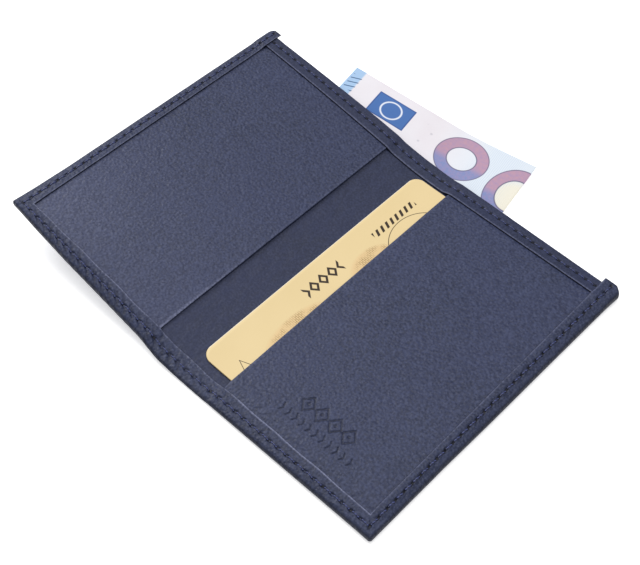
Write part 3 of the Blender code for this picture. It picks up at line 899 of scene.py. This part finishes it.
def sewing_thread():
    """Bonded polyester sewing thread, dyed navy, two plies twisted, with a soft shine, and a highlight
    painted on the plies in fine slanting bands.
    """
    material, tree, shader = new_material("sewing_thread_bonded_polyester")
    spot = add(tree, "ShaderNodeTexCoord", output=3)
    turned = add(tree, "ShaderNodeMapping", {"Vector": spot, "Rotation": (0, 0, 0.8)})
    # The plies lie about 0.35 mm apart, and are drawn 0.7 mm apart so that they show. A wave texture repeats
    # at about 0.31 of the length that its scale stands for.
    twist = {"Vector": turned, "Scale": 1 / (2.2 * MM), "Distortion": 1.0}
    plies = add(tree, "ShaderNodeTexWave", twist, output=1)
    # The paler tone on the crest of each ply is a painted highlight.
    tone = add(tree, "ShaderNodeMix", {0: plies, 6: colour("1C2346"), 7: colour("424C82")}, **BLENDED)
    tree.links.new(tone, shader.inputs["Base Color"])
    ridge = add(tree, "ShaderNodeBump", {"Height": plies, "Strength": 0.8, "Distance": 0.05 * MM})
    tree.links.new(ridge, shader.inputs["Normal"])
    shader.inputs["Roughness"].default_value = 0.42
    shader.inputs["IOR"].default_value = 1.55
    return material


def card_plastic():
    """Laminated PVC card, offset printed in pale gold under a clear film that handling has worn satin."""
    material, tree, shader = new_material("card_laminated_pvc")
    printed = add(tree, "ShaderNodeAttribute", output=1, attribute_name="printed")
    axes = tree.nodes.new("ShaderNodeSeparateXYZ")
    tree.links.new(printed, axes.inputs[0])
    s, y = axes.outputs[0], axes.outputs[1]
    # The printed attribute is in mm, so a scale of 0.05 is a tint that changes every 20 mm.
    cloud = add(tree, "ShaderNodeTexNoise", {"Vector": printed, "Scale": 0.05, "Detail": 2.0})
    tone = add(tree, "ShaderNodeMix", {0: cloud, 6: colour("E9D2A1"), 7: colour("E1C995")}, **BLENDED)
    # Two land-like patches of fine ochre lines, as on a printed map.
    patches = add(tree, "ShaderNodeTexNoise", {"Vector": printed, "Scale": 0.16, "Detail": 3.0})
    ragged = add(tree, "ShaderNodeMapRange", {"Value": patches, 1: 0.45, 2: 0.55})
    near_patch = in_oval(tree, printed, (14.5, -19), (5.4, 13), 0.8)
    far_patch = in_oval(tree, printed, (13.5, 11), (5.2, 8.5), 0.8)
    land = add(tree, "ShaderNodeMath", {0: near_patch, 1: far_patch}, operation="MAXIMUM")
    mesh = {"Vector": printed, "Scale": 1.0, "Mortar Size": 0.12, "Brick Width": 1.3, "Row Height": 0.55}
    lines = add(tree, "ShaderNodeTexBrick", mesh, output=1)
    mesh_lines = add(tree, "ShaderNodeMath", {0: lines, 1: ragged}, operation="MULTIPLY")
    inked = add(tree, "ShaderNodeMath", {0: land, 1: 0.35}, operation="MULTIPLY")
    tone = add(tree, "ShaderNodeMix", {0: inked, 6: tone, 7: colour("DDB07C")}, **BLENDED)
    inked = add(tree, "ShaderNodeMath", {0: land, 1: mesh_lines}, operation="MULTIPLY")
    inked = add(tree, "ShaderNodeMath", {0: inked, 1: 0.7}, operation="MULTIPLY")
    tone = add(tree, "ShaderNodeMix", {0: inked, 6: tone, 7: colour("9A8052")}, **BLENDED)
    # A thin ring line by the far end.
    ring = between(tree, oval_size(tree, printed, (17.6, 26.8), (8.9, 10.4)), 0.978, 1.0, 0.006)
    # A row of slanting bars and a row of small lozenges, where a card carries its names.
    slant = add(tree, "ShaderNodeMath", {0: s, 1: 0.45, 2: y}, operation="MULTIPLY_ADD")
    phase = add(tree, "ShaderNodeMath", {0: slant, 1: 1.0}, operation="PINGPONG")
    bars = add(tree, "ShaderNodeMapRange", {"Value": phase, 1: 0.50, 2: 0.60})
    row = in_box(tree, s, y, (6.1, 18.0), (8.2, 35.4))
    bars = add(tree, "ShaderNodeMath", {0: bars, 1: row}, operation="MULTIPLY")
    beat = add(tree, "ShaderNodeMath", {0: y, 1: 9.6}, operation="ADD")
    beat = add(tree, "ShaderNodeMath", {0: beat, 1: 1.75}, operation="PINGPONG")
    height = add(tree, "ShaderNodeMath", {0: s, 1: 7.2}, operation="SUBTRACT")
    height = add(tree, "ShaderNodeMath", {0: height}, operation="ABSOLUTE")
    size = add(tree, "ShaderNodeMath", {0: height, 1: 0.80, 2: beat}, operation="MULTIPLY_ADD")
    lozenges = between(tree, size, 0.80, 1.66, 0.06)
    window = in_box(tree, s, y, (4.7, -9.6), (9.7, 4.4))
    lozenges = add(tree, "ShaderNodeMath", {0: lozenges, 1: window}, operation="MULTIPLY")
    # Two thin lines that meet in a peak near the near end.
    across = add(tree, "ShaderNodeMath", {0: y, 1: 36.6}, operation="ADD")
    across = add(tree, "ShaderNodeMath", {0: across}, operation="ABSOLUTE")
    slope = add(tree, "ShaderNodeMath", {0: across, 1: 2.6, 2: 9.4}, operation="MULTIPLY_ADD")
    slope = add(tree, "ShaderNodeMath", {0: s, 1: slope}, operation="SUBTRACT")
    peak = between(tree, slope, -0.25, 0.25, 0.06)
    dark = add(tree, "ShaderNodeMath", {0: ring, 1: bars}, operation="MAXIMUM")
    dark = add(tree, "ShaderNodeMath", {0: dark, 1: lozenges}, operation="MAXIMUM")
    dark = add(tree, "ShaderNodeMath", {0: dark, 1: peak}, operation="MAXIMUM")
    tone = add(tree, "ShaderNodeMix", {0: dark, 6: tone, 7: colour("33261B")}, **BLENDED)
    # The pale core shows at the rim.
    rim = between(tree, s, CARD_LOW[0] - 1, CARD_LOW[0] + 0.16, 0.06)
    tone = add(tree, "ShaderNodeMix", {0: rim, 6: tone, 7: colour("F6EFE0")}, **BLENDED)
    tree.links.new(tone, shader.inputs["Base Color"])
    shader.inputs["Roughness"].default_value = 0.42
    shader.inputs["IOR"].default_value = 1.50
    shader.inputs["Specular IOR Level"].default_value = 0.3
    return material


def note_paper():
    """Cotton banknote paper, matt and fibrous, offset printed in pale tints, with fine-line ornaments."""
    material, tree, shader = new_material("note_cotton_paper")
    printed = add(tree, "ShaderNodeAttribute", output=1, attribute_name="printed")
    axes = tree.nodes.new("ShaderNodeSeparateXYZ")
    tree.links.new(printed, axes.inputs[0])
    a, b = axes.outputs[0], axes.outputs[1]
    cloud = add(tree, "ShaderNodeTexNoise", {"Vector": printed, "Scale": 0.07, "Detail": 2.0})
    share = add(tree, "ShaderNodeMapRange", {"Value": cloud, 1: 0.35, 2: 0.65})
    tone = add(tree, "ShaderNodeMix", {0: share, 6: colour("EDEAF0"), 7: colour("E9E3E9")}, **BLENDED)
    to_right = add(tree, "ShaderNodeMapRange", {"Value": a, 1: -30.0, 2: -14.0})
    tone = add(tree, "ShaderNodeMix", {0: to_right, 6: tone, 7: colour("DFE7F0")}, **BLENDED)
    cream = in_oval(tree, printed, (-1.0, -15.5), (7.5, 9), 0.55)
    tone = add(tree, "ShaderNodeMix", {0: cream, 6: tone, 7: colour("EFEAD9")}, **BLENDED)
    # Fine pale blue lines round the ornaments.
    engraved = {"Vector": printed, "Scale": 0.55, "Distortion": 6.0, "Detail": 1.0, "Detail Scale": 0.4}
    lines = add(tree, "ShaderNodeTexWave", engraved, output=1)
    lines = add(tree, "ShaderNodeMapRange", {"Value": lines, 1: 0.55, 2: 0.95, 4: 0.45})
    band = between(tree, a, -16.0, -3.0, 3.0)
    lines = add(tree, "ShaderNodeMath", {0: lines, 1: band}, operation="MULTIPLY")
    tone = add(tree, "ShaderNodeMix", {0: lines, 6: tone, 7: colour("B9CCE6")}, **BLENDED)
    # A light blue end with four thin dark lines.
    end = between(tree, a, -70.0, -60.4, 0.25)
    tone = add(tree, "ShaderNodeMix", {0: end, 6: tone, 7: colour("A9C8EA")}, **BLENDED)
    slant = add(tree, "ShaderNodeMath", {0: a, 1: -0.42, 2: b}, operation="MULTIPLY_ADD")
    phase = add(tree, "ShaderNodeMath", {0: slant, 1: 1.0}, operation="PINGPONG")
    ticks = add(tree, "ShaderNodeMapRange", {"Value": phase, 1: 0.16, 2: 0.26, 3: 1.0, 4: 0.0})
    row = in_box(tree, a, b, (-63.4, -9.6), (-60.2, -2.6))
    ticks = add(tree, "ShaderNodeMath", {0: ticks, 1: row}, operation="MULTIPLY")
    tone = add(tree, "ShaderNodeMix", {0: ticks, 6: tone, 7: colour("4A6A92")}, **BLENDED)
    # A blue panel with a darker border and a plain pale ring.
    panel = in_box(tree, a, b, (-53.1, -12.6), (-40.0, -3.3))
    tone = add(tree, "ShaderNodeMix", {0: panel, 6: tone, 7: colour("365A9A")}, **BLENDED)
    field = in_box(tree, a, b, (-52.7, -12.2), (-40.4, -3.7))
    tone = add(tree, "ShaderNodeMix", {0: field, 6: tone, 7: colour("4771B2")}, **BLENDED)
    hoop = between(tree, oval_size(tree, printed, (-46.6, -8.0), (3.6, 3.6)), 0.86, 1.0, 0.04)
    tone = add(tree, "ShaderNodeMix", {0: hoop, 6: tone, 7: colour("E9EEF8")}, **BLENDED)
    # Two ring ornaments, red-brown above and blue below, with a dark outline.
    for centre, radii, hole in (((-20.4, -10.2), (8.4, 8.6), 0.54), ((-0.8, -14.4), (8.8, 11.2), 0.58)):
        size = oval_size(tree, printed, centre, radii)
        body = between(tree, size, hole, 1.0, 0.012)
        fade = add(tree, "ShaderNodeMapRange", {"Value": b, 1: centre[1] - 3.2, 2: centre[1] - 0.6})
        ink = add(tree, "ShaderNodeMix", {0: fade, 6: colour("6A8EC2"), 7: colour("C79AA4")}, **BLENDED)
        grainy = add(tree, "ShaderNodeTexNoise", {"Vector": printed, "Scale": 0.9, "Detail": 2.0})
        ink = add(tree, "ShaderNodeMix", {0: grainy, 6: ink, 7: colour("A58FB6")}, **BLENDED)
        tone = add(tree, "ShaderNodeMix", {0: body, 6: tone, 7: ink}, **BLENDED)
        inside = between(tree, size, hole - 0.02, hole + 0.02, 0.012)
        outside = between(tree, size, 0.97, 1.0, 0.012)
        outline = add(tree, "ShaderNodeMath", {0: inside, 1: outside}, operation="MAXIMUM")
        tone = add(tree, "ShaderNodeMix", {0: outline, 6: tone, 7: colour("6E6A86")}, **BLENDED)
    # A scatter of faint grey dots.
    dots = add(tree, "ShaderNodeTexVoronoi", {"Vector": printed, "Scale": 0.32})
    dots = add(tree, "ShaderNodeMapRange", {"Value": dots, 1: 0.10, 2: 0.16, 3: 0.30, 4: 0.0})
    area = in_box(tree, a, b, (-35.0, -14.0), (-25.0, -5.0), 0.8)
    dots = add(tree, "ShaderNodeMath", {0: dots, 1: area}, operation="MULTIPLY")
    tone = add(tree, "ShaderNodeMix", {0: dots, 6: tone, 7: colour("8C8FA0")}, **BLENDED)
    tree.links.new(tone, shader.inputs["Base Color"])
    fibres = add(tree, "ShaderNodeTexNoise", {"Vector": printed, "Scale": 1.6, "Detail": 3.0})
    rough = add(tree, "ShaderNodeBump", {"Height": fibres, "Strength": 0.5, "Distance": 0.03 * MM})
    tree.links.new(rough, shader.inputs["Normal"])
    shader.inputs["Roughness"].default_value = 0.8
    shader.inputs["IOR"].default_value = 1.5
    return material


# ------------------------------------------------------------------------------------------------ stitches

# Each stitch is shorter than the machine's step, and lies slightly aslant: its ends are this far aside.
STITCH_SIZES = {"Stitch length": (STITCH - 1.0) * MM, "Thread radius": 0.18 * MM, "Sink": 0.20 * MM}
STITCH_ASIDE = 0.11


def stitch_tree():
    """Geometry Nodes that lay an arched stitch on each point, along the seam and up from the leather."""
    tree = bpy.data.node_groups.new("lay_stitches", "GeometryNodeTree")
    face = tree.interface
    face.new_socket("Seam points", in_out="INPUT", socket_type="NodeSocketGeometry")
    for label in STITCH_SIZES:
        face.new_socket(label, in_out="INPUT", socket_type="NodeSocketFloat")
    face.new_socket("Thread", in_out="INPUT", socket_type="NodeSocketMaterial")
    face.new_socket("Stitches", in_out="OUTPUT", socket_type="NodeSocketGeometry")
    given = tree.nodes.new("NodeGroupInput").outputs
    half = add(tree, "ShaderNodeMath", {0: given["Stitch length"], 1: 0.5}, operation="MULTIPLY")
    minus_half = add(tree, "ShaderNodeMath", {0: given["Stitch length"], 1: -0.5}, operation="MULTIPLY")
    sink = add(tree, "ShaderNodeMath", {0: given["Sink"], 1: -1.0}, operation="MULTIPLY")
    start = add(tree, "ShaderNodeCombineXYZ", {0: minus_half, 2: sink})
    crown = add(tree, "ShaderNodeCombineXYZ", {2: given["Sink"]})
    end = add(tree, "ShaderNodeCombineXYZ", {0: half, 2: sink})
    bow = {"Resolution": 6, "Start": start, "Middle": crown, "End": end}
    arch = add(tree, "GeometryNodeCurveQuadraticBezier", bow)
    profile = {"Resolution": 7, "Radius": given["Thread radius"]}
    ring = add(tree, "GeometryNodeCurvePrimitiveCircle", profile)
    swept = {"Curve": arch, "Profile Curve": ring, "Fill Caps": True}
    thread = add(tree, "GeometryNodeCurveToMesh", swept)
    along = add(tree, "GeometryNodeInputNamedAttribute", {"Name": "along"}, data_type="FLOAT_VECTOR")
    up = add(tree, "GeometryNodeInputNamedAttribute", {"Name": "up"}, data_type="FLOAT_VECTOR")
    turned = add(tree, "FunctionNodeAlignRotationToVector", {"Vector": along}, axis="X")
    upright = {"Rotation": turned, "Vector": up}
    turned = add(tree, "FunctionNodeAlignRotationToVector", upright, axis="Z", pivot_axis="X")
    stations = {"Points": given["Seam points"], "Instance": thread, "Rotation": turned}
    laid = add(tree, "GeometryNodeInstanceOnPoints", stations)
    real = add(tree, "GeometryNodeRealizeInstances", {"Geometry": laid})
    soft = add(tree, "GeometryNodeSetShadeSmooth", {"Geometry": real})
    dressed = add(tree, "GeometryNodeSetMaterial", {"Geometry": soft, "Material": given["Thread"]})
    result = tree.nodes.new("NodeGroupOutput")
    tree.links.new(dressed, result.inputs["Stitches"])
    return tree


def make_stitches(name, holes, height, facing, tree, material):
    """One row of stitches from hole to hole.

    height(s, y) is the height of the leather's face, and facing is 1 on its upper side, -1 underneath.
    """
    places, alongs, ups = [], [], []
    for (s0, y0, angle), (s1, y1, _) in zip(holes[:-1], holes[1:]):
        aside = STITCH_ASIDE * np.array([-math.sin(angle), math.cos(angle)])
        a = np.array([s0, y0]) + aside
        b = np.array([s1, y1]) - aside
        middle = (a + b) / 2
        lift = [float(height(np.array([p[0]]), np.array([p[1]]))[0]) for p in (a, b, middle)]
        first, second, centre = place([(*a, lift[0]), (*b, lift[1]), (*middle, lift[2])])
        above = place([(*middle, lift[2] + facing)])[0]
        places.append(centre)
        alongs.append((second - first) / np.linalg.norm(second - first))
        ups.append((above - centre) / np.linalg.norm(above - centre))
    mesh = bpy.data.meshes.new(name)
    mesh.from_pydata([tuple(p) for p in places], [], [])
    for key, values in (("along", alongs), ("up", ups)):
        layer = mesh.attributes.new(key, "FLOAT_VECTOR", "POINT")
        layer.data.foreach_set("vector", np.array(values, np.float32).ravel())
    seed = bpy.data.objects.new(name + "_points", mesh)
    bpy.context.scene.collection.objects.link(seed)
    modifier = seed.modifiers.new("stitches", "NODES")
    modifier.node_group = tree
    sockets = {item.name: item.identifier for item in tree.interface.items_tree if item.in_out == "INPUT"}
    for label, value in STITCH_SIZES.items():
        modifier[sockets[label]] = value
    modifier[sockets["Thread"]] = material
    graph = bpy.context.evaluated_depsgraph_get()
    result = bpy.data.meshes.new_from_object(seed.evaluated_get(graph), depsgraph=graph)
    result.name = name
    bpy.data.objects.remove(seed)
    piece = bpy.data.objects.new(name, result)
    bpy.context.scene.collection.objects.link(piece)
    return piece


# ------------------------------------------------------------------------------------------------ assembly


def across_fold(piece):
    """Bakes a piece's placement into its mesh, already bent at the fold by place(); it is not tied to the
    bodies.
    """
    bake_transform(piece)


def build_wallet():
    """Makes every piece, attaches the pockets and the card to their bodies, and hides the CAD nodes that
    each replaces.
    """
    # Cowhide, dyed navy and lightly glazed: a fine pebbled grain with a satin shine.
    cover_hide = grained_leather("cover_cowhide_glazed", "262E4B", "202741", "424A6A", 0.50, 0.75, 0.22)
    # Sheepskin, dyed navy and left unglazed: smoother, darker and duller.
    lining_hide = grained_leather("lining_sheepskin_smooth", "212845", "1D243C", "343B59", 0.56, 0.60, 0.06)
    # The same glazed cowhide as the cover's, a shade paler from handling.
    pocket_hide = grained_leather("pocket_cowhide_glazed", "282F4D", "232A44", "434B6B", 0.50, 0.80, 0.19)
    thread = sewing_thread()

    cover = make_cover(cover_hide)
    across_fold(cover)
    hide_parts("cover_right", "cover_left")

    lining = make_lining(lining_hide)
    across_fold(lining)
    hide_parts("lining_right", "lining_left")

    for side in ("right", "left"):
        pocket = make_pocket(side, pocket_hide)
        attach(pocket, side + "_panel")
        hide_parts("pocket_" + side)

    tree = stitch_tree()
    rows = (
        ("hem_stitches_inside", HEM_HOLES, hem_top, 1, "hem_thread_inner"),
        ("hem_stitches_outside", HEM_HOLES, outside_groove, -1, "hem_thread_outer"),
        ("strip_stitches", STRIP_HOLES, strip_top, 1, "lining_thread"),
        ("cover_far_stitches", COVER_HOLES, outside_groove, -1, "cover_far_thread"),
    )
    for name, holes, height, facing, node in rows:
        seam = make_stitches(name, holes, height, facing, tree, thread)
        across_fold(seam)
        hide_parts(node + "_right", node + "_left")

    card = make_card(card_plastic())
    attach(card, "card")
    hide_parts("payment_card")

    note = make_note(note_paper())
    across_fold(note)
    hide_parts("banknote_right", "banknote_left")


# ------------------------------------------------------------------------------------------------ stage


# The floor lies just under the cover, whose underside would flicker through it at the same height.
FLOOR_LEVEL = -0.03 * MM
FLOOR_REACH = 1.5
FLOOR_GLOW = 0.46
WORLD_STRENGTH = 0.50


def make_floor():
    """A matt white board, with a faint glow of its own that keeps it nearly white round the shadows."""
    material, _, shader = new_material("floor_matt_white")
    shader.inputs["Base Color"].default_value = colour("FAFAFA")
    shader.inputs["Emission Color"].default_value = colour("FFFFFF")
    shader.inputs["Emission Strength"].default_value = FLOOR_GLOW
    shader.inputs["Roughness"].default_value = 0.9
    shader.inputs["Specular IOR Level"].default_value = 0.1
    mesh = bpy.data.meshes.new("floor")
    corners = [
        (-FLOOR_REACH, -FLOOR_REACH, FLOOR_LEVEL),
        (FLOOR_REACH, -FLOOR_REACH, FLOOR_LEVEL),
        (FLOOR_REACH, FLOOR_REACH, FLOOR_LEVEL),
        (-FLOOR_REACH, FLOOR_REACH, FLOOR_LEVEL),
    ]
    mesh.from_pydata(corners, [], [(0, 1, 2, 3)])
    mesh.materials.append(material)
    floor = bpy.data.objects.new("floor", mesh)
    bpy.context.scene.collection.objects.link(floor)


def aim(thing, target, roll=0.0):
    """Turns a camera or light to look at a point."""
    direction = Vector(target) - thing.location
    turn = direction.to_track_quat("-Z", "Y").to_matrix().to_4x4()
    thing.matrix_world = Matrix.Translation(thing.location) @ turn @ Matrix.Rotation(roll, 4, "Z")


def add_softbox(name, location, size, power):
    """A square area light, size in metres and power in watts, turned to the middle of the wallet."""
    lamp = bpy.data.lights.new(name, "AREA")
    lamp.shape = "SQUARE"
    lamp.size = size
    lamp.energy = power
    lamp_object = bpy.data.objects.new(name, lamp)
    bpy.context.scene.collection.objects.link(lamp_object)
    lamp_object.location = location
    aim(lamp_object, (0, 0, 0))


def make_stage():
    """Floor, two softboxes and an even white surround."""
    make_floor()
    add_softbox("key_softbox", (-0.72, 0.05, 0.72), 0.5, 5.4)
    add_softbox("top_softbox", (0.02, 0.22, 1.08), 0.6, 3.4)
    world = bpy.data.worlds.new("studio")
    bpy.context.scene.world = world
    world.use_nodes = True
    background = world.node_tree.nodes["Background"]
    background.inputs[0].default_value = colour("FFFFFF")
    background.inputs[1].default_value = WORLD_STRENGTH
    bpy.context.scene.view_settings.view_transform = "Standard"


# The camera: lens and sensor in mm, angles round the wallet, and mm on the table from the hinge's foot.
CAMERA_LENS = 61.52
CAMERA_SENSOR = 36.0
CAMERA_AZIMUTH = math.radians(42.95)
CAMERA_ELEVATION = math.radians(53.59)
CAMERA_ROLL = math.radians(0.88)
CAMERA_DISTANCE = 298.66
CAMERA_TARGET = (7.33, -4.12, 2.5)


def make_camera():
    data = bpy.data.cameras.new("camera")
    data.lens = CAMERA_LENS
    data.sensor_width = CAMERA_SENSOR
    data.sensor_fit = "HORIZONTAL"
    data.clip_start = 0.01
    camera = bpy.data.objects.new("camera", data)
    bpy.context.scene.collection.objects.link(camera)
    target = (np.array(CAMERA_TARGET) + (HINGE[0], HINGE[1], 0)) * MM
    flat = math.cos(CAMERA_ELEVATION)
    back = (math.sin(CAMERA_AZIMUTH) * flat, -math.cos(CAMERA_AZIMUTH) * flat, math.sin(CAMERA_ELEVATION))
    camera.location = Vector(target) + Vector(back) * CAMERA_DISTANCE * MM
    aim(camera, target, CAMERA_ROLL)
    bpy.context.scene.camera = camera


make_camera()
build_wallet()
make_stage()
